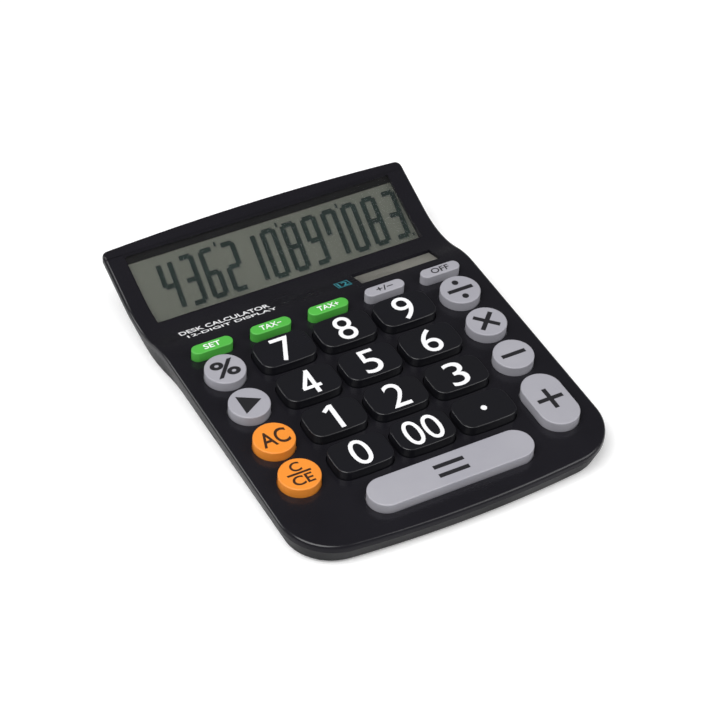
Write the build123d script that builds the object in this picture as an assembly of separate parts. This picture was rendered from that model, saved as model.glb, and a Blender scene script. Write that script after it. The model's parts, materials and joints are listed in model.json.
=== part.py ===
"""Desk calculator with a raised display head, built as separate pieces in one frame.

Most pieces are drawn in the deck frame: u to the right, v back along the key deck, n out of
the deck, with its origin on the deck in the middle of the twelve square keys. The finished
pieces are then tilted and moved to the body frame: z up from the table, y to the back.
"""
from build123d import *
from math import atan2, cos, degrees, radians, sin, tan
import os

# ---------------------------------------------------------------- overall sizes, mm and degrees
BODY_WIDTH = 126.0
BODY_LENGTH = 168.5
DECK_HEIGHT = 15.7
DECK_TILT = 5.0
HEAD_TILT = 21.0
HEAD_LENGTH = 60.2
BASE_PAST_CREST = 24.205
WALL = 2.0
FOOT_GAP = 1.0

# ---------------------------------------------------------------- plan outline
FRONT_BOW = 4.5
REAR_BOW = 1.7
FRONT_RADIUS = 20.0
REAR_RADIUS = 2.5
RIM_RADIUS = 1.2

# ---------------------------------------------------------------- top surface and sides
CREST_RADIUS = 32.0
VALLEY_RADIUS = 34.0
VALLEY_ANGLE = 22.0
SKIRT = 2.8
DRAFT = 20.0
REAR_WALL = 3.5
BASE_EDGE_RADIUS = 1.5
LAP_RISE = 0.6
LAP_WIDTH = 1.0
LAP_DEPTH = 3.0

# ---------------------------------------------------------------- keys
KEY_MARGIN = 15.0
SIDE_TO_DIGIT = 1.96
ROWS_PER_LENGTH = 5.395
FUNCTION_GAP = 3.195
KEY_GAP = 0.35
KEY_RISE = 3.7
KEY_TRAVEL = 1.5
KEY_EDGE = 0.45
DIGIT_GAP_U = 2.5
DIGIT_GAP_V = 4.2
DIGIT_CORNER = 4.2
DIGIT_BOW = 0.5
ROUND_GAP = 4.0
FUNCTION_PILL = (16.0, 4.8)
FUNCTION_SETBACK = 2.3
FUNCTION_SPREAD = 0.975
EQUALS_SPAN = 2.62
EQUALS_DEPTH = 0.71
EQUALS_ROW = -2.54
PLUS_SPAN = 1.395
PLUS_ROW = -1.826
FLANGE_LIP = 0.5
FLANGE = 0.8
FLANGE_GAP = 0.1
CAP_WALL = 1.3
STEM_RADIUS = 2.0
EQUALS_STEM = 0.75

# ---------------------------------------------------------------- board stack, depths under the deck
STEM_DEPTH = 3.1
DOME_REST = 0.55
SHEET_DEPTH = STEM_DEPTH + KEY_TRAVEL + DOME_REST
SHEET = 0.5
DOME_BASE = 4.0
DOME_TOP = 2.4
DOME_WALL = 0.45
SHEET_SETBACK = 4.5
BOARD = 1.2
BOARD_MARGIN = 5.5
BOARD_PAST_CREST = 7.205

# ---------------------------------------------------------------- display, depths under the head
WINDOW_SIDE = 7.5
WINDOW_START = -12.2
WINDOW_END = 18.0
GROOVE_SETBACK = 0.9
GROOVE_WIDTH = 0.5
GROOVE_DEPTH = 0.35
LENS_DEPTH = 0.8
LENS = 1.0
LENS_LIP = 1.2
POCKET_GAP = 0.1
GLASS_DEPTH = 2.1
GLASS = 1.5
FRAME_WALL = 1.0
FRAME_BAR = 2.7
REFLECTOR = 0.25
RIBBON = 0.2
RIBBON_WIDTH = 60.0
RIBBON_LAP = 2.6
RIBBON_BEND = (3.0, 1.0)
RIBBON_LAND = 4.0

# ---------------------------------------------------------------- solar cell
SOLAR_WINDOW = (33.5, 9.2)
SOLAR_U = 36.2
SOLAR_PAST_CREST = 11.805
SOLAR_TILT = 18.0
SOLAR_LIP = 1.4
SOLAR_DEPTH = 1.4
SOLAR_LENS = 0.8
SOLAR_CELL = 1.1

# ---------------------------------------------------------------- battery bay, screws, feet
CELL_RADIUS = 5.8
CELL_HEIGHT = 5.4
CELL_STEP = (1.2, 0.5)
LEAF_WIDTH = 4.0
CONTACT = 0.3
CONTACT_RADIUS = 3.5
PIN_RADIUS = 0.5
PIN_LENGTH = 1.4
DOOR_WIDTH = 24.0
DOOR_LENGTH = 22.0
DOOR = 1.5
DOOR_GAP = 0.3
DOOR_SLIDE = 6.0
TAB_WIDTH = 0.8
TAB_LENGTH = 3.5
TAB = 0.7
TAB_OFFSETS = (1.5, 12.5)
GRIPS = 4
GRIP_START = 4.0
GRIP_PITCH = 1.6
GRIP_WIDTH = 0.8
GRIP_DEPTH = 0.4
BAY_WALL = 1.6
BAY_ROOF = 1.3
FOOT_RADIUS = 4.5
FOOT = 1.5
FOOT_SPREAD = 0.82
FOOT_SETBACK = 3.0
SCREW_RADIUS = 1.1
SCREW_HEAD_RADIUS = 2.3
SCREW_HEAD = 1.5
BOSS_RADIUS = 2.5
FRONT_SCREW_AT = (1.5, -2.78)
REAR_SCREW_AT = (2.0, 4.4)
FRONT_SCREW_HEIGHTS = (2.9, 4.6, 8.4)
REAR_SCREW_HEIGHTS = (5.0, 8.0, 13.0)
BOARD_SCREW_RADIUS = 0.8
BOARD_HEAD_RADIUS = 1.8
BOARD_HEAD = 1.0
BOARD_SCREW_BITE = 2.5
BOARD_SCREW_SIDES = (0.79, 0.80, 0.75)
BOARD_SCREW_ROW = -2.79
POST_ROWS = (1.0, -1.0, -2.95)
BOARD_BOSS_RADIUS = 2.1
POST_RADIUS = 1.8
CLEAR = 0.3
SLOT_LENGTH = 2.8
SLOT_WIDTH = 0.5
BLOB_RADIUS = 6.0
BLOB_HEIGHT = 1.4
BLOB_EDGE = 1.0
CAPACITORS = ((-30.0, 12.0, 2.0), (26.0, 20.0, 2.5))
CAPACITOR_HEIGHT = 1.8
RESISTORS = 4
RESISTOR = (1.2, 2.4, 0.7)
RESISTOR_PITCH = 4.0
RESISTOR_AT = (-18.0, 32.0)
CRYSTAL = (8.0, 3.2, 2.4)
CRYSTAL_AT = (16.0, 4.0)
WIRE_RADIUS = 0.4
WIRE_SPREAD = 7.0
WIRE_REACH = 8.0
WIRE_EASE = 0.5
SOLAR_WIRE_START = (10.0, -2.0)
SOLAR_WIRE_END = (13.0, 2.0)
FAR = 400.0

# ---------------------------------------------------------------- derived layout
HALF = BODY_WIDTH / 2
FUNCTION_ROOM = FUNCTION_GAP + FUNCTION_PILL[1] / 2 + FUNCTION_SETBACK - DIGIT_GAP_V / 2
ROW_PITCH = (BODY_LENGTH - HEAD_LENGTH - FUNCTION_ROOM) / ROWS_PER_LENGTH
FRONT_V = -3.395 * ROW_PITCH
REAR_V = FRONT_V + BODY_LENGTH
CREST_V = REAR_V - HEAD_LENGTH
SOLAR_V = CREST_V + SOLAR_PAST_CREST
BOARD_REAR_V = CREST_V + BOARD_PAST_CREST
BASE_REAR_V = CREST_V + BASE_PAST_CREST
SIDE_U = HALF - KEY_MARGIN
COLUMN_PITCH = SIDE_U / SIDE_TO_DIGIT
ROUND_RADIUS = (ROW_PITCH - ROUND_GAP) / 2
ROWS = [(row - 1.5) * ROW_PITCH for row in range(4)]
FUNCTION_V = CREST_V - FUNCTION_SETBACK
SHEET_BASE = SHEET_DEPTH + SHEET
BOARD_BASE = SHEET_BASE + BOARD
GLASS_BASE = GLASS_DEPTH + GLASS
TILT_SIN = sin(radians(DECK_TILT))
TILT_COS = cos(radians(DECK_TILT))
TO_BODY = Location((0, 0, DECK_HEIGHT), (DECK_TILT, 0, 0))


def polar(radius, angle):
    """Offset (v, n) of a point `radius` away, `angle` degrees from straight up towards the rear."""
    return Vector(radius * sin(radians(angle)), radius * cos(radians(angle)))


# Centres of the two arcs between the deck and the head, and where the flat head starts, as (v, n).
CREST = Vector(CREST_V, -CREST_RADIUS)
VALLEY = CREST + polar(CREST_RADIUS + VALLEY_RADIUS, VALLEY_ANGLE)
HEAD_START = VALLEY + polar(VALLEY_RADIUS, 180 - HEAD_TILT)
HEAD_ALONG = polar(1, 90 - HEAD_TILT)
HEAD_UP = polar(1, -HEAD_TILT)


def tilted(u, v, n, angle):
    """Plane through (u, v, n) whose second axis rises `angle` degrees towards the rear."""
    up = polar(1, -angle)
    return Plane(origin=(u, v, n), x_dir=(1, 0, 0), z_dir=(0, up.X, up.Y))


HEAD = tilted(0, HEAD_START.X, HEAD_START.Y, HEAD_TILT)


def surface_n(v, depth=0.0):
    """Height n of the surface `depth` under the top surface, at a station v."""
    crest = CREST_RADIUS - depth
    valley = VALLEY_RADIUS + depth
    head = HEAD_START - HEAD_UP * depth
    if v <= CREST_V:
        return -depth
    if v <= CREST.X + polar(crest, VALLEY_ANGLE).X:
        return CREST.Y + (crest**2 - (v - CREST.X) ** 2) ** 0.5
    if v <= head.X:
        return VALLEY.Y - (valley**2 - (v - VALLEY.X) ** 2) ** 0.5
    return head.Y + (v - head.X) * tan(radians(HEAD_TILT))


def level_n(v, z):
    """Height n, at a station v, of the level plane z above the table."""
    return (z - DECK_HEIGHT - v * TILT_SIN) / TILT_COS


def body_y(v, n):
    """Body-frame y of a deck-frame point."""
    return v * TILT_COS - n * TILT_SIN


UNDER_N = surface_n(REAR_V, SKIRT) - REAR_WALL
UNDER_ANGLE = degrees(atan2(UNDER_N - level_n(BASE_REAR_V, FOOT_GAP), REAR_V - BASE_REAR_V))
BASE_REAR_Y = body_y(BASE_REAR_V, level_n(BASE_REAR_V, FOOT_GAP))


# ---------------------------------------------------------------- construction helpers
def below(depth):
    """Everything under the surface that lies `depth` under the top surface."""
    crest = CREST_RADIUS - depth
    valley = VALLEY_RADIUS + depth
    p0 = Vector(FRONT_V - FAR / 8, -depth)
    p1 = CREST + polar(crest, 0)
    p2 = CREST + polar(crest, VALLEY_ANGLE)
    p3 = VALLEY + polar(valley, 180 - HEAD_TILT)
    p4 = p3 + HEAD_ALONG * FAR / 4
    floor = -FAR / 2
    path = [
        Line(p0, p1),
        ThreePointArc(p1, CREST + polar(crest, VALLEY_ANGLE / 2), p2),
        ThreePointArc(p2, VALLEY + polar(valley, 180 + (VALLEY_ANGLE - HEAD_TILT) / 2), p3),
        Line(p3, p4),
        Line(p4, (p4.X, floor)),
        Line((p4.X, floor), (p0.X, floor)),
        Line((p0.X, floor), p0),
    ]
    return extrude(Plane.YZ * make_face(path), FAR / 2, both=True)


def outline(inset=0.0, square_rear=False):
    """Plan outline of the casing, with a bowed and rounded rear or a straight square one."""
    front = FRONT_V + FRONT_BOW
    rear = REAR_V - REAR_BOW
    back = Line((HALF, rear), (-HALF, rear))
    if not square_rear:
        back = ThreePointArc((HALF, rear), (0, REAR_V), (-HALF, rear))
    path = [
        ThreePointArc((-HALF, front), (0, FRONT_V), (HALF, front)),
        Line((HALF, front), (HALF, rear)),
        back,
        Line((-HALF, rear), (-HALF, front)),
    ]
    face = make_face(path)
    face = fillet(face.vertices().group_by(Axis.Y)[0], FRONT_RADIUS)
    if not square_rear:
        face = fillet(face.vertices().group_by(Axis.Y)[-1], REAR_RADIUS)
    return offset(face, -inset) if inset else face


def prism(inset=0.0):
    """Block with the casing's plan outline, square to the deck."""
    return extrude(outline(inset), FAR / 4, both=True)


def slab(face, top, bottom):
    """Plan face made solid between two depths under the deck; a negative depth is above it."""
    return extrude(Pos(0, 0, -bottom) * face, bottom - top)


def plate(width, depth, thickness, top, plane, at=(0, 0)):
    """Rectangular plate `top` under a tilted plane, centred at `at` on that plane."""
    return plane.location * Pos(at[0], at[1], -top - thickness / 2) * Box(width, depth, thickness)


def rod(x, y, low, high, radius):
    """Upright cylinder in the body frame."""
    return Pos(x, y, (low + high) / 2) * Cylinder(radius, high - low)


def block(x, y, z):
    """Box in the body frame, from three (low, high) pairs."""
    centre = [sum(pair) / 2 for pair in (x, y, z)]
    return Pos(*centre) * Box(x[1] - x[0], y[1] - y[0], z[1] - z[0])


def wire(start, start_dir, end, end_dir, ease=1.0):
    """Round wire along a smooth path in the deck frame; a smaller `ease` bulges less."""
    path = Spline(start, end, tangents=(start_dir, end_dir), tangent_scalars=(ease, ease))
    return sweep(Plane(origin=path @ 0, z_dir=path % 0) * Circle(WIRE_RADIUS), path=path)


def under_plane(v, n, angle, drop=0.0):
    """Half space under the plane through (v, n) that rises `angle` degrees to the rear."""
    return tilted(0, v, n, angle).location * Pos(0, 0, drop - FAR / 2) * Box(FAR, FAR, FAR)


# ---------------------------------------------------------------- casing blocks
def lower_block(inset=0.0, floor=0.0):
    """Block under the parting surface: drafted sides, level base, sloped underside at the rear."""
    split = CREST_V - WALL
    lean = radians(DRAFT)
    half = HALF - inset
    foot = Pos(0, 0, -SKIRT) * outline(inset, square_rear=True)
    front = extrude(foot, amount=DECK_HEIGHT + 2 * SKIRT, dir=(0, 0, -1), taper=DRAFT)
    front -= Pos(0, split + FAR / 2, 0) * Box(FAR, FAR, FAR)
    corners = (split, -FAR / 8), (split + FAR / 4, -FAR / 8), (split + FAR / 4, FAR), (split, FAR)
    profile = Plane.YZ.offset(half) * make_face(Polyline(*corners, close=True))
    profile -= below(SKIRT)
    side = extrude(profile, amount=half / sin(lean), dir=(-sin(lean), 0, -cos(lean)))
    rear = (side + mirror(side, about=Plane.YZ)) & below(SKIRT) & prism(inset)
    solid = front + rear
    solid -= under_plane(0, level_n(0, FOOT_GAP + floor), -DECK_TILT)
    return solid - under_plane(REAR_V, UNDER_N, UNDER_ANGLE, floor)


def upper_block():
    """Solid lid between the top surface and the parting surface, with its rim rounded."""
    solid = below(0) & prism()
    rim = [
        edge
        for edge in solid.edges()
        if abs(edge.center().Z - surface_n(edge.center().Y)) < 0.01
        and not (edge.geom_type == GeomType.LINE and abs(edge.tangent_at(0).X) > 0.9)
    ]
    return fillet(rim, RIM_RADIUS) - below(SKIRT)


# ---------------------------------------------------------------- key outlines
def square_face(grow=0.0):
    """Square key with slightly bowed sides and rounded corners."""
    half_u = (COLUMN_PITCH - DIGIT_GAP_U) / 2 + grow
    half_v = (ROW_PITCH - DIGIT_GAP_V) / 2 + grow
    corner_u = half_u - DIGIT_BOW
    corner_v = half_v - DIGIT_BOW
    path = [
        ThreePointArc((-corner_u, -corner_v), (0, -half_v), (corner_u, -corner_v)),
        ThreePointArc((corner_u, -corner_v), (half_u, 0), (corner_u, corner_v)),
        ThreePointArc((corner_u, corner_v), (0, half_v), (-corner_u, corner_v)),
        ThreePointArc((-corner_u, corner_v), (-half_u, 0), (-corner_u, -corner_v)),
    ]
    face = make_face(path)
    return fillet(face.vertices(), DIGIT_CORNER + grow)


def round_face(grow=0.0):
    """Round key."""
    return Circle(ROUND_RADIUS + grow)


def function_face(grow=0.0):
    """Small pill key over the number block."""
    return SlotOverall(FUNCTION_PILL[0] + 2 * grow, FUNCTION_PILL[1] + 2 * grow)


def equals_face(grow=0.0):
    """Wide pill key at the front."""
    return SlotOverall(EQUALS_SPAN * COLUMN_PITCH + 2 * grow, EQUALS_DEPTH * ROW_PITCH + 2 * grow)


def plus_face(grow=0.0):
    """Tall pill key at the front right."""
    return Rot(0, 0, 90) * SlotOverall(PLUS_SPAN * ROW_PITCH + 2 * grow, 2 * (ROUND_RADIUS + grow))


SQUARE_KEYS = (
    ("zero", "double_zero", "point"),
    ("one", "two", "three"),
    ("four", "five", "six"),
    ("seven", "eight", "nine"),
)
LEFT_KEYS = ("clear_entry", "all_clear", "play", "percent")
RIGHT_KEYS = (None, "minus", "times", "divide")
FUNCTION_KEYS = ("set", "tax_minus", "tax_plus", "sign", "off")

# name: (outline, u, v, offsets of the domes along u)
KEYS = {}
for v, names in zip(ROWS, SQUARE_KEYS):
    for column, name in enumerate(names):
        KEYS[name] = (square_face, (column - 1) * COLUMN_PITCH, v, (0,))
for v, left, right in zip(ROWS, LEFT_KEYS, RIGHT_KEYS):
    KEYS[left] = (round_face, -SIDE_U, v, (0,))
    if right:
        KEYS[right] = (round_face, SIDE_U, v, (0,))
for place, name in enumerate(FUNCTION_KEYS):
    KEYS[name] = (function_face, (place / 2 - 1) * FUNCTION_SPREAD * SIDE_U, FUNCTION_V, (0,))
KEYS["plus"] = (plus_face, SIDE_U, PLUS_ROW * ROW_PITCH, (0,))
EQUALS_STEMS = (-EQUALS_STEM * COLUMN_PITCH, EQUALS_STEM * COLUMN_PITCH)
KEYS["equals"] = (equals_face, 0, EQUALS_ROW * ROW_PITCH, EQUALS_STEMS)


def key_cap(face, stems):
    """Hollow key cap with a retaining flange under the deck and a stem over each dome."""
    flange_top = WALL + FLANGE_GAP
    flange_base = flange_top + FLANGE
    cap = slab(face(), -KEY_RISE, flange_base)
    cap = fillet(cap.faces().sort_by(Axis.Z)[-1].edges(), KEY_EDGE)
    cap += slab(face(KEY_GAP + FLANGE_LIP), flange_top, flange_base)
    cap -= slab(face(-CAP_WALL), CAP_WALL - KEY_RISE, flange_base)
    for u in stems:
        cap += slab(Pos(u, 0) * Circle(STEM_RADIUS), CAP_WALL - KEY_RISE, STEM_DEPTH)
    return cap


# ---------------------------------------------------------------- screw places
# Case screws as (u, v on the board level, seat height, boss joint height, tip height).
CASE_SCREWS = (
    (SIDE_U + FRONT_SCREW_AT[0], FRONT_SCREW_AT[1] * ROW_PITCH, *FRONT_SCREW_HEIGHTS),
    (SIDE_U + REAR_SCREW_AT[0], BASE_REAR_V - REAR_SCREW_AT[1], *REAR_SCREW_HEIGHTS),
)
BOARD_SCREWS = (
    (BOARD_SCREW_SIDES[0] * SIDE_U, BOARD_SCREW_ROW * ROW_PITCH),
    (BOARD_SCREW_SIDES[1] * SIDE_U, 0),
    (BOARD_SCREW_SIDES[2] * FUNCTION_SPREAD * SIDE_U, FUNCTION_V),
)
POSTS = [(COLUMN_PITCH / 2, row * ROW_PITCH) for row in POST_ROWS]
SIDES = (-1, 1)


def case_screw_axes():
    """Body-frame x and y of each case screw with its seat, joint and tip heights."""
    for u, v, seat, joint, tip in CASE_SCREWS:
        y = body_y(v, -SHEET_BASE)
        for side in SIDES:
            yield side * u, y, seat, joint, tip


# ---------------------------------------------------------------- shells
def top_shell():
    """Top shell: deck, valley and head with key holes, two windows and screw bosses."""
    shell = upper_block() - (below(WALL) & prism(WALL))
    for u, v in BOARD_SCREWS:
        for side in SIDES:
            boss = slab(Pos(side * u, v) * Circle(BOARD_BOSS_RADIUS), WALL / 2, SHEET_BASE)
            shell += boss
            shell -= slab(Pos(side * u, v) * Circle(BOARD_SCREW_RADIUS), WALL, SHEET_BASE)
    limit = TO_BODY * below(WALL / 2)
    shell = TO_BODY * shell
    for x, y, seat, joint, tip in case_screw_axes():
        shell += rod(x, y, joint, DECK_HEIGHT + WALL, BOSS_RADIUS) & limit
        shell -= rod(x, y, joint, tip, SCREW_RADIUS)
    shell = TO_BODY.inverse() * shell
    for face, u, v, domes in KEYS.values():
        shell -= slab(Pos(u, v) * face(KEY_GAP), -WALL, 2 * WALL)
    centre = (WINDOW_START + WINDOW_END) / 2
    length = WINDOW_END - WINDOW_START
    width = BODY_WIDTH - 2 * WINDOW_SIDE
    pocket = 2 * (LENS_LIP + POCKET_GAP)
    shell -= plate(width, length, 4 * WALL, -2 * WALL, HEAD, (0, centre))
    shell -= plate(width + pocket, length + pocket, 2 * WALL, LENS_DEPTH, HEAD, (0, centre))
    groove_at = (0, WINDOW_END + GROOVE_SETBACK)
    shell -= plate(BODY_WIDTH, GROOVE_WIDTH, GROOVE_DEPTH + WALL, -WALL, HEAD, groove_at)
    solar = tilted(SOLAR_U, SOLAR_V, surface_n(SOLAR_V), -SOLAR_TILT)
    pocket = 2 * (SOLAR_LIP + POCKET_GAP)
    shell -= plate(*SOLAR_WINDOW, 4 * WALL, -2 * WALL, solar)
    shell -= plate(SOLAR_WINDOW[0] + pocket, SOLAR_WINDOW[1] + pocket, 2 * WALL, SOLAR_DEPTH, solar)
    return shell


def bottom_shell():
    """Bottom shell: drafted tray with lap rim, board posts, screw wells and battery bay."""
    outer = lower_block()
    base = [e for e in outer.edges() if abs(e.center().Z - level_n(e.center().Y, FOOT_GAP)) < 0.01]
    outer = fillet(base, BASE_EDGE_RADIUS)
    inner = lower_block(WALL / cos(radians(DRAFT)), WALL)
    shell = outer - inner
    lap = (below(SKIRT - LAP_RISE) - below(SKIRT + LAP_DEPTH)) & prism(WALL + POCKET_GAP)
    lap -= prism(WALL + POCKET_GAP + LAP_WIDTH)
    lap -= Pos(0, HEAD_START.X + FAR / 2, 0) * Box(FAR, FAR, FAR)
    shell += lap
    for u, v in POSTS:
        for side in SIDES:
            shell += slab(Pos(side * u, v) * Circle(POST_RADIUS), BOARD_BASE, DECK_HEIGHT + WALL) & outer
    shell = TO_BODY * shell
    outer = TO_BODY * outer
    for x, y, seat, joint, tip in case_screw_axes():
        shell += rod(x, y, FOOT_GAP, joint, BOSS_RADIUS + WALL / 2) & outer
        shell -= rod(x, y, 0, seat, SCREW_HEAD_RADIUS + CLEAR)
        shell -= rod(x, y, 0, joint, SCREW_RADIUS)
    shell += battery_bay() & outer
    for cut in battery_cuts():
        shell -= cut
    for x, y in foot_places():
        shell -= rod(x, y, 0, FOOT, FOOT_RADIUS + POCKET_GAP)
    return TO_BODY.inverse() * shell


# ---------------------------------------------------------------- battery bay, body frame
DOOR_REAR = BASE_REAR_Y - WALL / 2
DOOR_FRONT = DOOR_REAR - DOOR_LENGTH
DOOR_LOW = FOOT_GAP + DOOR_GAP / 2
DOOR_HIGH = DOOR_LOW + DOOR
CELL_Y = (DOOR_FRONT + DOOR_REAR) / 2
CELL_LOW = DOOR_HIGH + DOOR_GAP
CELL_HIGH = CELL_LOW + CELL_HEIGHT
BAY_HIGH = CELL_HIGH + CONTACT + BAY_ROOF
TAB_STARTS = [DOOR_FRONT + offset for offset in TAB_OFFSETS]


def foot_places():
    """Body-frame x and y of the four feet."""
    front = body_y(FRONT_V, 0) + FOOT_SETBACK * FOOT_RADIUS
    rear = BASE_REAR_Y - FOOT_SETBACK * FOOT_RADIUS
    return [(side * FOOT_SPREAD * SIDE_U, y) for side in SIDES for y in (front, rear)]


def battery_bay():
    """Solid block round the button cell."""
    half = DOOR_WIDTH / 2 + DOOR_GAP + BAY_WALL
    along = (DOOR_FRONT - DOOR_GAP - BAY_WALL, BASE_REAR_Y + BAY_WALL)
    return block((-half, half), along, (FOOT_GAP, BAY_HIGH))


def battery_cuts():
    """Door slot with tab grooves, cell well, contact recess and pin hole."""
    half = DOOR_WIDTH / 2 + DOOR_GAP
    slot_top = DOOR_HIGH + DOOR_GAP
    cuts = [block((-half, half), (DOOR_FRONT - DOOR_GAP, BASE_REAR_Y + FAR / 20), (0, slot_top))]
    groove = half + TAB_WIDTH
    for start in TAB_STARTS:
        mouth = start + TAB_LENGTH + DOOR_GAP
        tab_low = DOOR_HIGH - TAB - DOOR_GAP
        cuts.append(block((-groove, groove), (start - DOOR_GAP, mouth), (tab_low, slot_top)))
        cuts.append(block((-groove, groove), (mouth, mouth + DOOR_SLIDE), (0, slot_top)))
    cuts.append(rod(0, CELL_Y, DOOR_LOW, CELL_HIGH + CONTACT, CELL_RADIUS + CLEAR))
    cuts.append(rod(0, CELL_Y, CELL_HIGH, BAY_HIGH, PIN_RADIUS))
    side = CELL_Y - CELL_RADIUS
    recess = LEAF_WIDTH / 2 + POCKET_GAP
    cuts.append(block((-recess, recess), (side - CONTACT, CELL_Y), (CELL_LOW, CELL_HIGH)))
    cuts.append(block((-PIN_RADIUS, PIN_RADIUS), (side - CONTACT, side), (CELL_HIGH, BAY_HIGH)))
    return cuts


def battery_door():
    """Sliding door with four tabs and four grip grooves."""
    half = DOOR_WIDTH / 2
    door = block((-half, half), (DOOR_FRONT, DOOR_REAR), (DOOR_LOW, DOOR_HIGH))
    wide = half + TAB_WIDTH
    for start in TAB_STARTS:
        door += block((-wide, wide), (start, start + TAB_LENGTH), (DOOR_HIGH - TAB, DOOR_HIGH))
    for step in range(GRIPS):
        y = DOOR_FRONT + GRIP_START + GRIP_PITCH * step
        door -= block((-half / 2, half / 2), (y, y + GRIP_WIDTH), (DOOR_LOW, DOOR_LOW + GRIP_DEPTH))
    return door


def button_cell():
    """Button cell: wide can with a narrower raised terminal."""
    cell = rod(0, CELL_Y, CELL_LOW, CELL_HIGH - CELL_STEP[1], CELL_RADIUS)
    return cell + rod(0, CELL_Y, CELL_HIGH - CELL_STEP[1], CELL_HIGH, CELL_RADIUS - CELL_STEP[0])


def contact_minus():
    """Disc over the cell with a pin through the bay roof."""
    disc = rod(0, CELL_Y, CELL_HIGH, CELL_HIGH + CONTACT, CONTACT_RADIUS)
    return disc + rod(0, CELL_Y, CELL_HIGH, BAY_HIGH + PIN_LENGTH, PIN_RADIUS)


def contact_plus():
    """Leaf against the side of the cell with a tail through the bay roof."""
    side = CELL_Y - CELL_RADIUS
    half = LEAF_WIDTH / 2
    leaf = block((-half, half), (side - CONTACT, side), (CELL_LOW, CELL_HIGH))
    return leaf + block((-PIN_RADIUS, PIN_RADIUS), (side - CONTACT, side), (CELL_HIGH, BAY_HIGH + PIN_LENGTH))


# ---------------------------------------------------------------- display and solar cell
def display_parts():
    """Lens, frame, glass, reflector and ribbon of the display."""
    centre = (WINDOW_START + WINDOW_END) / 2
    length = WINDOW_END - WINDOW_START + 2 * LENS_LIP
    width = BODY_WIDTH - 2 * WINDOW_SIDE + 2 * LENS_LIP
    top = LENS_DEPTH + LENS
    inner = (width - 2 * FRAME_WALL, length - 2 * FRAME_WALL)
    ring = plate(width, length, GLASS_BASE - top, top, HEAD, (0, centre))
    ring -= plate(*inner, GLASS_BASE, top, HEAD, (0, centre))
    bar = FRAME_BAR + LENS_LIP
    bar_at = WINDOW_END + LENS_LIP - bar / 2
    ring += plate(width, bar, GLASS_DEPTH - top, top, HEAD, (0, bar_at))
    glass = (inner[0] - 2 * POCKET_GAP, inner[1] - 2 * POCKET_GAP)
    lap = RIBBON_LAP + POCKET_GAP
    back = glass[1] - lap
    ribbon_start = centre - glass[1] / 2
    front = HEAD_START + HEAD_ALONG * (ribbon_start + RIBBON_LAP) - HEAD_UP * GLASS_BASE
    edge = HEAD_START + HEAD_ALONG * (ribbon_start - 2 * FRAME_WALL) - HEAD_UP * GLASS_BASE
    low = Vector(BOARD_REAR_V + RIBBON_BEND[0], -BOARD_BASE - RIBBON_BEND[1])
    end = Vector(BOARD_REAR_V - RIBBON_LAND, -BOARD_BASE)
    stop = Vector(BOARD_REAR_V, -BOARD_BASE)
    down = Vector(0, -RIBBON)
    sink = -HEAD_UP * RIBBON
    path = [front, edge, low, stop, end, end + down, stop + down, low + down, edge + sink, front + sink]
    ribbon = extrude(
        Plane.YZ * make_face(Polyline(*path, close=True)),
        RIBBON_WIDTH / 2,
        both=True,
    )
    return {
        "display_lens": plate(width, length, LENS, LENS_DEPTH, HEAD, (0, centre)),
        "display_frame": ring,
        "display_glass": plate(*glass, GLASS, GLASS_DEPTH, HEAD, (0, centre)),
        "display_reflector": plate(glass[0], back, REFLECTOR, GLASS_BASE, HEAD, (0, centre + lap / 2)),
        "display_ribbon": ribbon,
    }


def solar_parts():
    """Lens and cell of the solar window."""
    plane = tilted(SOLAR_U, SOLAR_V, surface_n(SOLAR_V), -SOLAR_TILT)
    size = [side + 2 * SOLAR_LIP for side in SOLAR_WINDOW]
    return {
        "solar_lens": plate(*size, SOLAR_LENS, SOLAR_DEPTH, plane),
        "solar_cell": plate(*size, SOLAR_CELL, SOLAR_DEPTH + SOLAR_LENS, plane),
    }


# ---------------------------------------------------------------- board stack
def board_outline():
    """Plan outline of the board and of the dome sheet, with holes for the case bosses."""
    face = outline(BOARD_MARGIN) - Pos(0, BOARD_REAR_V + FAR / 2) * Rectangle(FAR, FAR)
    for u, v, *heights in CASE_SCREWS[:1]:
        for side in SIDES:
            face -= Pos(side * u, v) * Circle(BOSS_RADIUS + WALL / 2 + CLEAR)
    return face


def dome_sheet():
    """Rubber sheet with one hollow dome under every key stem."""
    face = board_outline() - Pos(0, BOARD_REAR_V - SHEET_SETBACK + FAR / 2) * Rectangle(FAR, FAR)
    for u, v in BOARD_SCREWS:
        for side in SIDES:
            face -= Pos(side * u, v) * Circle(BOARD_BOSS_RADIUS + CLEAR)
    sheet = slab(face, SHEET_DEPTH, SHEET_BASE)
    height = SHEET_DEPTH - STEM_DEPTH
    hollow = height + SHEET - DOME_WALL
    for face, u, v, domes in KEYS.values():
        for du in domes:
            sheet += Pos(u + du, v, -SHEET_DEPTH + height / 2) * Cone(DOME_BASE, DOME_TOP, height)
            inner = Cone(DOME_BASE, DOME_TOP - DOME_WALL, hollow)
            sheet -= Pos(u + du, v, -SHEET_BASE + hollow / 2) * inner
    return sheet


def circuit_board():
    """Main board with holes for its screws."""
    face = board_outline()
    for u, v in BOARD_SCREWS:
        for side in SIDES:
            face -= Pos(side * u, v) * Circle(BOARD_SCREW_RADIUS)
    return slab(face, SHEET_BASE, BOARD_BASE)


def board_screws():
    """Small screws that hold the board to the top shell."""
    screws = Part()
    for u, v in BOARD_SCREWS:
        for side in SIDES:
            at = Pos(side * u, v)
            screws += slab(at * Circle(BOARD_SCREW_RADIUS), SHEET_BASE - BOARD_SCREW_BITE, BOARD_BASE)
            screws += slab(at * Circle(BOARD_HEAD_RADIUS), BOARD_BASE, BOARD_BASE + BOARD_HEAD)
    return screws


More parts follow.
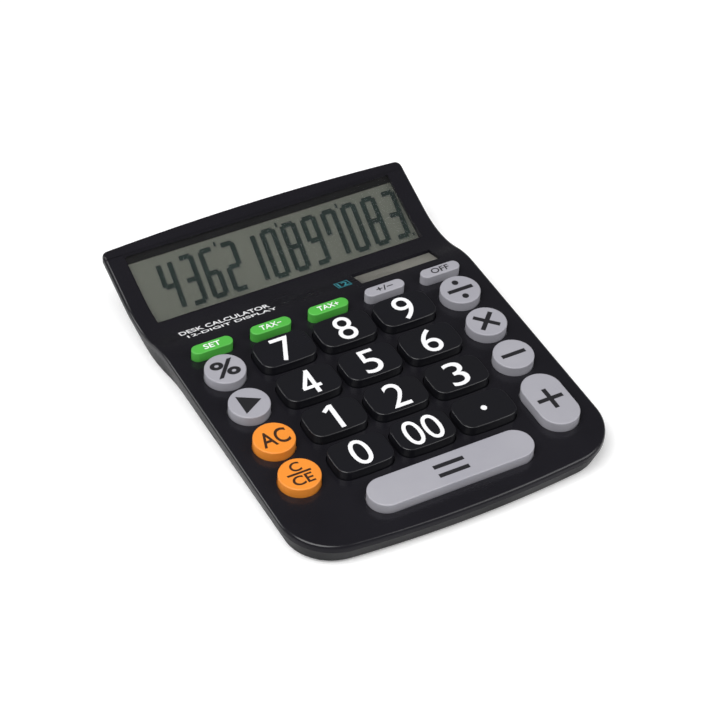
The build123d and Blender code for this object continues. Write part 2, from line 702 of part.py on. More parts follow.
def case_screws():
    """Screws that close the casing, body frame."""
    screws = Part()
    for x, y, seat, joint, tip in case_screw_axes():
        screws += rod(x, y, seat, tip, SCREW_RADIUS)
        head = rod(x, y, seat - SCREW_HEAD, seat, SCREW_HEAD_RADIUS)
        for size in ((SLOT_LENGTH, SLOT_WIDTH), (SLOT_WIDTH, SLOT_LENGTH)):
            across, along = size[0] / 2, size[1] / 2
            head -= block((x - across, x + across), (y - along, y + along), (0, seat - SCREW_HEAD / 2))
        screws += head
    return screws


def processor():
    """Round blob of resin over the bare processor chip, under the board."""
    blob = slab(Circle(BLOB_RADIUS), BOARD_BASE, BOARD_BASE + BLOB_HEIGHT)
    return fillet(blob.faces().sort_by(Axis.Z)[0].edges(), BLOB_EDGE)


def board_parts():
    """Capacitors, resistors and crystal under the board."""
    parts = Part()
    for u, v, radius in CAPACITORS:
        parts += slab(Pos(u, v) * Circle(radius), BOARD_BASE, BOARD_BASE + CAPACITOR_HEIGHT)
    width, length, height = RESISTOR
    for index in range(RESISTORS):
        at = Pos(RESISTOR_AT[0] + index * RESISTOR_PITCH, RESISTOR_AT[1])
        parts += slab(at * Rectangle(width, length), BOARD_BASE, BOARD_BASE + height)
    length, width, height = CRYSTAL
    parts += slab(Pos(*CRYSTAL_AT) * SlotOverall(length, width), BOARD_BASE, BOARD_BASE + height)
    return parts


def battery_wires():
    """Two wires from the sides of the contact pins to the underside of the board."""
    wires = Part()
    for y, side in ((CELL_Y, 1), (CELL_Y - CELL_RADIUS - CONTACT, -1)):
        start = (TO_BODY.inverse() * Pos(0, y, BAY_HIGH + PIN_LENGTH - WIRE_RADIUS)).position
        end = (side * WIRE_SPREAD, BOARD_REAR_V - WIRE_REACH, -BOARD_BASE)
        wires += wire(start, (side, -1, 0), end, (0, 0, 1), WIRE_EASE)
    return wires - TO_BODY.inverse() * (contact_minus() + contact_plus())


def solar_wires():
    """Two wires from the solar cell to the top of the board."""
    plane = tilted(SOLAR_U, SOLAR_V, surface_n(SOLAR_V), -SOLAR_TILT)
    depth = SOLAR_DEPTH + SOLAR_LENS + SOLAR_CELL
    wires = Part()
    for side in SIDES:
        start = (plane.location * Pos(side * SOLAR_WIRE_START[0], SOLAR_WIRE_START[1], -depth)).position
        end = (SOLAR_U + side * SOLAR_WIRE_END[0], BOARD_REAR_V - SOLAR_WIRE_END[1], -SHEET_BASE)
        wires += wire(start, -plane.z_dir, end, (0, 0, -1))
    return wires


# ---------------------------------------------------------------- assemble and write
def deck_pieces():
    """Every piece drawn in the deck frame, by node name."""
    pieces = {
        "top_shell": top_shell(),
        "bottom_shell": bottom_shell(),
        "dome_sheet": dome_sheet(),
        "circuit_board": circuit_board(),
        "board_screws": board_screws(),
        "processor": processor(),
        "board_parts": board_parts(),
        "battery_wires": battery_wires(),
        "solar_wires": solar_wires(),
    }
    pieces.update(display_parts())
    pieces.update(solar_parts())
    for name, (face, u, v, domes) in KEYS.items():
        pieces["key_" + name] = Pos(u, v) * key_cap(face, domes)
    return pieces


def body_pieces():
    """Every piece drawn in the body frame, by node name."""
    feet = Part()
    for x, y in foot_places():
        feet += rod(x, y, 0, FOOT, FOOT_RADIUS)
    return {
        "battery_door": battery_door(),
        "button_cell": button_cell(),
        "contact_minus": contact_minus(),
        "contact_plus": contact_plus(),
        "case_screws": case_screws(),
        "rubber_feet": feet,
    }


pieces = {name: TO_BODY * piece for name, piece in deck_pieces().items()}
pieces.update(body_pieces())
casing = [pieces[name].bounding_box() for name in ("top_shell", "bottom_shell")]
front_end = min(box.min.Y for box in casing)
rear_end = max(box.max.Y for box in casing)
centring = Pos(0, -(front_end + rear_end) / 2, 0)
os.makedirs("parts", exist_ok=True)
for name, piece in pieces.items():
    piece = centring * piece
    piece.label = name
    export_step(piece, "parts/" + name + ".step")
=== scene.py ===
"""Looks of a large-key desk calculator: finishes, key legends, display digits, studio."""

from __future__ import annotations

import json
import logging
from dataclasses import dataclass, field
from enum import Enum
from math import cos, radians, sin, sqrt
from typing import Callable

import bmesh
import bpy
from mathutils import Matrix, Vector


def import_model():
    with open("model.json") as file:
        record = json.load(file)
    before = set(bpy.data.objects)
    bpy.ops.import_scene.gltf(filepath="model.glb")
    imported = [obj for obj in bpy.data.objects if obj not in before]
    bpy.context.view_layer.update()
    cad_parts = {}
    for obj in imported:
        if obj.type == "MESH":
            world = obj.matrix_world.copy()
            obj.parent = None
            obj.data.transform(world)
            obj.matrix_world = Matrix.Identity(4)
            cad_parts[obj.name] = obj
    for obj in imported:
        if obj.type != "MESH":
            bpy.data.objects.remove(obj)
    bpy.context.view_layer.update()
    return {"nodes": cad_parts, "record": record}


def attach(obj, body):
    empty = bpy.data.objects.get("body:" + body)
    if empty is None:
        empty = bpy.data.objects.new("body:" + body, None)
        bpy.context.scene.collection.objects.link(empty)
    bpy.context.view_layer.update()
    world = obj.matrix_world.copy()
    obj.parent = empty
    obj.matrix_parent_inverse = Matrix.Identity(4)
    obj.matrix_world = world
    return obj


logging.basicConfig(level=logging.INFO, format="%(message)s")
LOG = logging.getLogger("desk_calculator")
MM = 0.001


def tone(red: int, green: int, blue: int) -> tuple[float, float, float, float]:
    """Linear colour of an 8-bit display colour.

    Args:
        red: Red from 0 to 255.
        green: Green from 0 to 255.
        blue: Blue from 0 to 255.

    Returns:
        Linear red, green, blue and an alpha of 1.
    """
    parts = [value / 255 for value in (red, green, blue)]
    linear = [p / 12.92 if p <= 0.04045 else ((p + 0.055) / 1.055) ** 2.4 for p in parts]
    return (linear[0], linear[1], linear[2], 1.0)


# ---------------------------------------------------------------- where things lie
@dataclass(frozen=True)
class CaseFrame:
    """Places on the sloped key deck and on the steeper display head, in millimetres."""

    deck_tilt: float = 5.0
    deck_height: float = 15.7
    deck_y: float = -19.7245
    head_tilt: float = 21.0
    head_v: float = 80.709
    head_n: float = -2.548

    def deck(self, u: float, v: float, n: float = 0.0, turn: float = 0.0) -> Matrix:
        """Placement on the key deck.

        Args:
            u: Millimetres to the right.
            v: Millimetres back along the deck.
            n: Millimetres above the deck surface.
            turn: Extra tilt about the u axis, in degrees.

        Returns:
            Matrix from local metres to the part's frame.
        """
        angle = radians(self.deck_tilt)
        y = self.deck_y + v * cos(angle) - n * sin(angle)
        z = self.deck_height + v * sin(angle) + n * cos(angle)
        place = Matrix.Translation(Vector((u, y, z)) * MM)
        return place @ Matrix.Rotation(radians(self.deck_tilt + turn), 4, "X")

    def head(self, u: float, s: float, depth: float = 0.0) -> Matrix:
        """Placement on the display head.

        Args:
            u: Millimetres to the right.
            s: Millimetres back along the head from its reference line.
            depth: Millimetres below the head surface.

        Returns:
            Matrix from local metres to the part's frame.
        """
        angle = radians(self.head_tilt)
        v = self.head_v + s * cos(angle) + depth * sin(angle)
        n = self.head_n + s * sin(angle) - depth * cos(angle)
        return self.deck(u, v, n, self.head_tilt)


CASE = CaseFrame()


# ---------------------------------------------------------------- shader groups
class SurfaceGroups:
    """Shader node groups that several finishes share."""

    NOISE_MIDDLE = (0.3, 0.7)
    FINE_DETAIL = 3.0
    SLOW_SCALE = 45.0
    SLOW_DETAIL = 4.0
    LINE_SCALE = 60.0
    LINE_DETAIL = 2.0
    LINE_STRETCH = (1.0, 14.0, 1.0)
    PATCH_SCALE = 30.0
    PATCH_DETAIL = 5.0

    def __init__(self) -> None:
        """Builds the grain, the scuff and the painted side shade groups."""
        self.grain = self._grain()
        self.scuffs = self._scuffs()
        self.sides = self._side_shade()

    @staticmethod
    def _socket(tree: bpy.types.NodeTree, name: str, kind: str, out: bool, value: object = None) -> None:
        """Adds one named socket.

        Args:
            tree: The group's node tree.
            name: Name of the socket.
            kind: Socket class name.
            out: True for an output.
            value: Default value of an input.
        """
        side = "OUTPUT" if out else "INPUT"
        made = tree.interface.new_socket(name=name, in_out=side, socket_type=kind)
        if value is not None:
            made.default_value = value

    @staticmethod
    def _noise(
        tree: bpy.types.NodeTree,
        scale: object,
        detail: float,
        stretch: tuple = (1, 1, 1),
    ) -> bpy.types.Node:
        """Noise on object coordinates.

        Args:
            tree: The node tree to add to.
            scale: A number, or a socket that gives the scale.
            detail: Octaves of detail.
            stretch: Scale of the pattern along X, Y and Z.

        Returns:
            The noise node.
        """
        where = tree.nodes.new("ShaderNodeTexCoord")
        shape = tree.nodes.new("ShaderNodeMapping")
        shape.inputs["Scale"].default_value = stretch
        noise = tree.nodes.new("ShaderNodeTexNoise")
        noise.inputs["Detail"].default_value = detail
        tree.links.new(where.outputs["Object"], shape.inputs["Vector"])
        tree.links.new(shape.outputs["Vector"], noise.inputs["Vector"])
        if isinstance(scale, (int, float)):
            noise.inputs["Scale"].default_value = scale
        else:
            tree.links.new(scale, noise.inputs["Scale"])
        return noise

    @staticmethod
    def _span(tree: bpy.types.NodeTree, source: object, low: object, high: object) -> bpy.types.Node:
        """Maps the middle of a noise onto a range.

        Args:
            tree: The node tree to add to.
            source: Socket with the noise value.
            low: Number or socket for the low end.
            high: Number or socket for the high end.

        Returns:
            The map range node.
        """
        node = tree.nodes.new("ShaderNodeMapRange")
        node.inputs["From Min"].default_value = SurfaceGroups.NOISE_MIDDLE[0]
        node.inputs["From Max"].default_value = SurfaceGroups.NOISE_MIDDLE[1]
        tree.links.new(source, node.inputs["Value"])
        for name, value in (("To Min", low), ("To Max", high)):
            if isinstance(value, (int, float)):
                node.inputs[name].default_value = value
            else:
                tree.links.new(value, node.inputs[name])
        return node

    def _grain(self) -> bpy.types.NodeTree:
        """Moulded grain: fine height, slow colour and roughness change.

        Returns:
            The node group.
        """
        tree = bpy.data.node_groups.new("moulded_grain", "ShaderNodeTree")
        self._socket(tree, "Base", "NodeSocketColor", False)
        self._socket(tree, "Deep", "NodeSocketColor", False)
        self._socket(tree, "Scale", "NodeSocketFloat", False, 900.0)
        self._socket(tree, "Smooth", "NodeSocketFloat", False, 0.2)
        self._socket(tree, "Rough", "NodeSocketFloat", False, 0.3)
        self._socket(tree, "Color", "NodeSocketColor", True)
        self._socket(tree, "Roughness", "NodeSocketFloat", True)
        self._socket(tree, "Height", "NodeSocketFloat", True)
        inner, outer = tree.nodes.new("NodeGroupInput"), tree.nodes.new("NodeGroupOutput")
        fine = self._noise(tree, inner.outputs["Scale"], self.FINE_DETAIL)
        slow = self._noise(tree, self.SLOW_SCALE, self.SLOW_DETAIL)
        share = self._span(tree, slow.outputs["Fac"], 0.0, 1.0)
        mix = tree.nodes.new("ShaderNodeMix")
        mix.data_type = "RGBA"
        tree.links.new(share.outputs["Result"], mix.inputs[0])
        tree.links.new(inner.outputs["Base"], mix.inputs[6])
        tree.links.new(inner.outputs["Deep"], mix.inputs[7])
        rough = self._span(tree, slow.outputs["Fac"], inner.outputs["Smooth"], inner.outputs["Rough"])
        tree.links.new(mix.outputs[2], outer.inputs["Color"])
        tree.links.new(rough.outputs["Result"], outer.inputs["Roughness"])
        tree.links.new(fine.outputs["Fac"], outer.inputs["Height"])
        return tree

    def _scuffs(self) -> bpy.types.NodeTree:
        """Handling marks: thin hairlines and dull patches added to a roughness.

        Returns:
            The node group.
        """
        tree = bpy.data.node_groups.new("handling_scuffs", "ShaderNodeTree")
        self._socket(tree, "Roughness", "NodeSocketFloat", False, 0.3)
        self._socket(tree, "Amount", "NodeSocketFloat", False, 0.1)
        self._socket(tree, "Roughness", "NodeSocketFloat", True)
        inner, outer = tree.nodes.new("NodeGroupInput"), tree.nodes.new("NodeGroupOutput")
        lines = self._noise(tree, self.LINE_SCALE, self.LINE_DETAIL, self.LINE_STRETCH)
        patch = self._noise(tree, self.PATCH_SCALE, self.PATCH_DETAIL)
        both = tree.nodes.new("ShaderNodeMath")
        both.operation = "MULTIPLY"
        tree.links.new(lines.outputs["Fac"], both.inputs[0])
        tree.links.new(patch.outputs["Fac"], both.inputs[1])
        scaled = tree.nodes.new("ShaderNodeMath")
        scaled.operation = "MULTIPLY_ADD"
        tree.links.new(both.outputs["Value"], scaled.inputs[0])
        tree.links.new(inner.outputs["Amount"], scaled.inputs[1])
        tree.links.new(inner.outputs["Roughness"], scaled.inputs[2])
        tree.links.new(scaled.outputs["Value"], outer.inputs["Roughness"])
        return tree


    def _side_shade(self) -> bpy.types.NodeTree:
        """Painted shade: gloss level that falls from faces that look up to faces that look sideways or down.

        Returns:
            The node group.
        """
        tree = bpy.data.node_groups.new("painted_side_shade", "ShaderNodeTree")
        self._socket(tree, "Side", "NodeSocketFloat", False, 0.2)
        self._socket(tree, "Top", "NodeSocketFloat", False, 0.5)
        self._socket(tree, "Level", "NodeSocketFloat", True)
        inner, outer = tree.nodes.new("NodeGroupInput"), tree.nodes.new("NodeGroupOutput")
        facing = tree.nodes.new("ShaderNodeTexCoord")
        split = tree.nodes.new("ShaderNodeSeparateXYZ")
        tree.links.new(facing.outputs["Normal"], split.inputs["Vector"])
        level = self._span(tree, split.outputs["Z"], inner.outputs["Side"], inner.outputs["Top"])
        tree.links.new(level.outputs["Result"], outer.inputs["Level"])
        return tree


# ---------------------------------------------------------------- finishes
@dataclass(frozen=True)
class Finish:
    """One surface finish with its own colour, gloss, grain and wear, and painted shade on its sides."""

    name: str
    base: tuple[int, int, int]
    deep: tuple[int, int, int]
    smooth: float = 0.3
    rough: float = 0.42
    grain: float = 900.0
    relief: float = 0.05
    scuff: float = 0.08
    metallic: float = 0.0
    coat: float = 0.0
    specular: float = 0.5
    # Share of the specular level left on faces that look sideways or down: painted shade on the sides.
    side_shade_gloss: float = 1.0

    def build(self, groups: SurfaceGroups) -> bpy.types.Material:
        """Makes the material.

        Args:
            groups: The shared shader groups.

        Returns:
            The finished material.
        """
        material = bpy.data.materials.new(self.name)
        material.use_nodes = True
        tree = material.node_tree
        shader = tree.nodes["Principled BSDF"]
        shader.inputs["Metallic"].default_value = self.metallic
        shader.inputs["Coat Weight"].default_value = self.coat
        shader.inputs["Coat Roughness"].default_value = 0.12
        grain = tree.nodes.new("ShaderNodeGroup")
        grain.node_tree = groups.grain
        grain.inputs["Base"].default_value = tone(*self.base)
        grain.inputs["Deep"].default_value = tone(*self.deep)
        grain.inputs["Scale"].default_value = self.grain
        grain.inputs["Smooth"].default_value = self.smooth
        grain.inputs["Rough"].default_value = self.rough
        scuffs = tree.nodes.new("ShaderNodeGroup")
        scuffs.node_tree = groups.scuffs
        scuffs.inputs["Amount"].default_value = self.scuff
        # Painted shade: the specular level falls on faces that look sideways or down.
        sides = tree.nodes.new("ShaderNodeGroup")
        sides.node_tree = groups.sides
        sides.inputs["Side"].default_value = self.specular * self.side_shade_gloss
        sides.inputs["Top"].default_value = self.specular
        bump = tree.nodes.new("ShaderNodeBump")
        bump.inputs["Strength"].default_value = self.relief
        bump.inputs["Distance"].default_value = 0.0001
        tree.links.new(grain.outputs["Color"], shader.inputs["Base Color"])
        tree.links.new(grain.outputs["Roughness"], scuffs.inputs["Roughness"])
        tree.links.new(scuffs.outputs["Roughness"], shader.inputs["Roughness"])
        tree.links.new(sides.outputs["Level"], shader.inputs["Specular IOR Level"])
        tree.links.new(grain.outputs["Height"], bump.inputs["Height"])
        tree.links.new(bump.outputs["Normal"], shader.inputs["Normal"])
        return material


@dataclass(frozen=True)
class ClearFinish:
    """Clear moulded window that lets light through to what lies under it."""

    name: str

    def build(self, groups: SurfaceGroups) -> bpy.types.Material:
        """Makes the material.

        Args:
            groups: The shared shader groups.

        Returns:
            The finished material.
        """
        material = bpy.data.materials.new(self.name)
        material.use_nodes = True
        tree = material.node_tree
        shader = tree.nodes["Principled BSDF"]
        shader.inputs["Base Color"].default_value = (1.0, 1.0, 1.0, 1.0)
        shader.inputs["Transmission Weight"].default_value = 1.0
        shader.inputs["IOR"].default_value = 1.46
        grain = tree.nodes.new("ShaderNodeGroup")
        grain.node_tree = groups.grain
        grain.inputs["Smooth"].default_value = 0.02
        grain.inputs["Rough"].default_value = 0.06
        tree.links.new(grain.outputs["Roughness"], shader.inputs["Roughness"])
        clear = tree.nodes.new("ShaderNodeBsdfTransparent")
        path = tree.nodes.new("ShaderNodeLightPath")
        mix = tree.nodes.new("ShaderNodeMixShader")
        tree.links.new(path.outputs["Is Shadow Ray"], mix.inputs[0])
        tree.links.new(shader.outputs["BSDF"], mix.inputs[1])
        tree.links.new(clear.outputs["BSDF"], mix.inputs[2])
        tree.links.new(mix.outputs["Shader"], tree.nodes["Material Output"].inputs["Surface"])
        return material


NODE_FINISHES: dict[str, Finish | ClearFinish] = {
    "shell": Finish(
        "shell_gloss_black", (27, 26, 31), (22, 21, 26), 0.16, 0.24, 1400.0, 0.04, 0.10,
        # Painted shade: the sides keep a fifth of the top's specular level.
        specular=0.4, side_shade_gloss=0.2,
    ),
    "black_key": Finish("key_satin_black", (22, 22, 27), (18, 18, 22), 0.24, 0.34, 1800.0, 0.06, 0.12),
    "grey_key": Finish("key_satin_grey", (166, 165, 172), (158, 157, 165), 0.42, 0.52, 2200.0, 0.08),
    "orange_key": Finish("key_satin_orange", (240, 146, 52), (230, 136, 44), 0.40, 0.50, 2200.0, 0.08),
    "green_key": Finish("key_satin_green", (84, 182, 72), (76, 172, 65), 0.40, 0.50, 2200.0, 0.08),
    "clear_lens": ClearFinish("clear_window"),
    "inner_plastic": Finish("inner_matt_black", (9, 9, 10), (6, 6, 7), 0.6, 0.7, specular=0.15),
    "display": Finish(
        "display_grey_olive", (70, 72, 66), (66, 68, 62), 0.32, 0.40, 2600.0, 0.03, 0.04, specular=0.1,
    ),
    "foil": Finish("reflector_foil", (190, 190, 188), (176, 176, 174), 0.30, 0.38, metallic=1.0),
    "ribbon": Finish("ribbon_amber_film", (190, 140, 70), (172, 122, 56), 0.25, 0.35),
    "solar": Finish("solar_cell_grey", (122, 121, 115), (113, 112, 106), 0.25, 0.34, 1600.0, 0.03),
    "board": Finish("board_green_laminate", (40, 98, 58), (32, 84, 48), 0.35, 0.45, 1200.0, 0.10),
    "steel": Finish(
        "screw_zinc", (176, 176, 178), (150, 150, 154), 0.28, 0.40, 1500.0, 0.10, 0.2, metallic=1.0,
    ),
    "resin": Finish("resin_black", (20, 20, 20), (14, 14, 14), 0.25, 0.35),
    "silicone": Finish("silicone_milky", (190, 190, 184), (178, 178, 172), 0.5, 0.6),
    "wire": Finish("wire_red", (170, 28, 26), (150, 22, 20), 0.35, 0.45),
    "cell_can": Finish(
        "cell_nickel", (200, 200, 198), (186, 186, 184), 0.16, 0.26, 1800.0, 0.04, 0.2, metallic=1.0,
    ),
    "contact": Finish("contact_plated", (205, 190, 150), (190, 174, 134), 0.25, 0.35, metallic=1.0),
    "foot_rubber": Finish("foot_rubber", (34, 34, 35), (26, 26, 27), 0.7, 0.82, 1100.0, 0.35),
}


NODE_OWN_FINISHES: dict[str, Finish] = {
    "bottom_shell": Finish(
        "shell_matt_black", (24, 24, 27), (19, 19, 22), 0.42, 0.54, 1300.0, 0.18, 0.06,
        # Painted shade: the sides keep 0.4 of the top's specular level.
        specular=0.2, side_shade_gloss=0.4,
    ),
}


class Ink(Enum):
    """Printing inks and display tones of the new pieces."""

    WHITE = Finish("ink_white", (244, 244, 246), (236, 236, 238), 0.45, 0.55, 2600.0, 0.03)
    DARK = Finish("ink_dark", (30, 29, 33), (24, 23, 27), 0.45, 0.55, 2600.0, 0.03)
    BROWN = Finish("ink_brown", (58, 34, 18), (48, 27, 13), 0.45, 0.55, 2600.0, 0.03)
    TEAL = Finish("ink_teal", (60, 150, 160), (50, 136, 148), 0.45, 0.55, 2600.0, 0.03)
    SEGMENT = Finish("display_segment", (20, 29, 27), (17, 25, 24), 0.35, 0.45, 2600.0, 0.02, specular=0.1)
    SHADE = Finish("display_segment_shade", (58, 61, 56), (55, 58, 53), 0.4, 0.5, 2600.0, 0.02, specular=0.1)


class Paintbox:
    """Builds each finish once and hands out its material."""

    def __init__(self) -> None:
        """Builds the shared groups and an empty store."""
        self.groups = SurfaceGroups()
        self.made: dict[str, bpy.types.Material] = {}

    def get(self, finish: Finish | ClearFinish) -> bpy.types.Material:
        """Material of a finish.

        Args:
            finish: The finish to look up.

        Returns:
            Its material, built the first time it is asked for.
        """
        if finish.name not in self.made:
            self.made[finish.name] = finish.build(self.groups)
        return self.made[finish.name]

    def dress(self, node: bpy.types.Object, finish: Finish | ClearFinish) -> None:
        """Gives an object one finish, in every material slot it has."""
        node.data.materials.clear()
        node.data.materials.append(self.get(finish))


# ---------------------------------------------------------------- marks
class Mark:
    """Thin flat mark drawn in millimetres and then laid on a surface."""

    THICK = 0.03
    STAGGER = 0.002

    def __init__(self) -> None:
        """Starts with nothing drawn."""
        self.mesh = bmesh.new()
        self.strokes = 0

    def _depth(self) -> float:
        """Thickness of the next stroke, a little different each time so that no two tops meet."""
        self.strokes += 1
        return self.THICK - self.STAGGER * (self.strokes % 5)

    def bar(self, u: float, v: float, long: float, wide: float, turn: float = 0.0) -> Mark:
        """Adds a straight bar.

        Args:
            u: Middle of the bar, to the right.
            v: Middle of the bar, upwards.
            long: Length.
            wide: Width.
            turn: Turn in degrees.

        Returns:
            This mark.
        """
        depth = self._depth()
        place = Matrix.Translation((u, v, depth / 2)) @ Matrix.Rotation(radians(turn), 4, "Z")
        shape = place @ Matrix.Diagonal((long, wide, depth, 1))
        bmesh.ops.create_cube(self.mesh, size=1.0, matrix=shape)
        return self

    def dot(self, u: float, v: float, radius: float, sides: int = 32, turn: float = 0.0) -> Mark:
        """Adds a disc, or a regular polygon with few sides.

        Args:
            u: Middle, to the right.
            v: Middle, upwards.
            radius: Radius to the corners.
            sides: Number of sides.
            turn: Turn in degrees.

        Returns:
            This mark.
        """
        depth = self._depth()
        place = Matrix.Translation((u, v, depth / 2)) @ Matrix.Rotation(radians(turn), 4, "Z")
        bmesh.ops.create_cone(
            self.mesh,
            cap_ends=True,
            segments=sides,
            radius1=radius,
            radius2=radius,
            depth=depth,
            matrix=place,
        )
        return self

    def cross(self, u: float, v: float, long: float, wide: float, turn: float = 0.0) -> Mark:
        """Adds a cross of one whole bar and two half bars that meet it.

        Args:
            u: Middle, to the right.
            v: Middle, upwards.
            long: Length of both strokes.
            wide: Stroke width.
            turn: Turn in degrees.

        Returns:
            This mark.
        """
        self.bar(u, v, long, wide, turn)
        reach = (long + wide) / 4
        for side in (-1, 1):
            angle = radians(turn + 90)
            at_u, at_v = u + side * reach * cos(angle), v + side * reach * sin(angle)
            self.bar(at_u, at_v, (long - wide) / 2, wide, turn + 90)
        return self

    def box(self, wide: float, high: float, line: float) -> Mark:
        """Adds an outlined rectangle round the origin.

        Args:
            wide: Width across the outside.
            high: Height across the outside.
            line: Width of the line.

        Returns:
            This mark.
        """
        for side in (-1, 1):
            self.bar(0, side * (high - line) / 2, wide, line)
            self.bar(side * (wide - line) / 2, 0, high - 2 * line, line, 90)
        return self

    def words(self, text: str, u: float, v: float, high: float, wide: float, weight: float) -> Mark:
        """Adds lettering fitted to a box.

        Args:
            text: What it says.
            u: Middle of the lettering, to the right.
            v: Middle of the lettering, upwards.
            high: Height of the lettering.
            wide: Width of the lettering.
            weight: Extra stroke weight, as a share of the letter size.

        Returns:
            This mark.
        """
        curve = bpy.data.curves.new("lettering", "FONT")
        curve.body = text
        curve.size = 1.0
        curve.offset = weight
        curve.extrude = 0.01
        curve.resolution_u = 6
        holder = bpy.data.objects.new("lettering", curve)
        bpy.context.scene.collection.objects.link(holder)
        bpy.context.view_layer.update()
        shaped = holder.evaluated_get(bpy.context.evaluated_depsgraph_get())
        drawn = bpy.data.meshes.new_from_object(shaped)
        spots = [vertex.co for vertex in drawn.vertices]
        low = Vector([min(s[axis] for s in spots) for axis in range(3)])
        size = Vector([max(s[axis] for s in spots) for axis in range(3)]) - low
        drawn.transform(Matrix.Translation(-low - Vector((size.x / 2, size.y / 2, 0))))
        drawn.transform(Matrix.Diagonal((wide / size.x, high / size.y, self.THICK / size.z, 1)))
        drawn.transform(Matrix.Translation((u, v, 0)))
        self.mesh.from_mesh(drawn)
        bpy.data.objects.remove(holder)
        bpy.data.curves.remove(curve)
        bpy.data.meshes.remove(drawn)
        return self

    def drape(self, v: float, surface: Callable[[float], float], lift: float) -> Mark:
        """Bends the mark over a surface that curves along v.

        Args:
            v: Where the mark's origin lies along the surface.
            surface: Height of the surface at a place along v.
            lift: Clearance above the surface.

        Returns:
            This mark.
        """
        for vertex in self.mesh.verts:
            vertex.co.y += v
            vertex.co.z += surface(vertex.co.y) + lift
        return self

    def lean(self, slope: float) -> Mark:
        """Leans everything drawn so far to the right.

        Args:
            slope: Sideways shift for each millimetre upwards.

        Returns:
            This mark.
        """
        for vertex in self.mesh.verts:
            vertex.co.x += vertex.co.y * slope
        return self

    def lay(self, name: str, place: Matrix, body: str, ink: Ink, paints: Paintbox) -> bpy.types.Object:
        """Turns the mark into an object on a surface.

        Args:
            name: Name of the piece.
            place: Where its origin lies.
            body: CAD body it rides on.
            ink: Its finish.
            paints: The paintbox.

        Returns:
            The finished piece.
        """
        bmesh.ops.remove_doubles(self.mesh, verts=self.mesh.verts, dist=1e-5)
        bmesh.ops.recalc_face_normals(self.mesh, faces=self.mesh.faces)
        data = bpy.data.meshes.new(name)
        self.mesh.to_mesh(data)
        self.mesh.free()
        data.transform(Matrix.Scale(MM, 4))
        data.transform(place)
        piece = bpy.data.objects.new(name, data)
        bpy.context.scene.collection.objects.link(piece)
        paints.dress(piece, ink.value)
        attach(piece, body)
        LOG.info("%s rides on %s, %d faces", name, body, len(data.polygons))
        return piece


# ---------------------------------------------------------------- key legends
@dataclass(frozen=True)
class Legend:
    """Place of one key and what is printed on it."""

    key: str
    u: float
    v: float
    ink: Ink
    text: str = ""
    high: float = 0.0
    wide: float = 0.0
    weight: float = 0.012


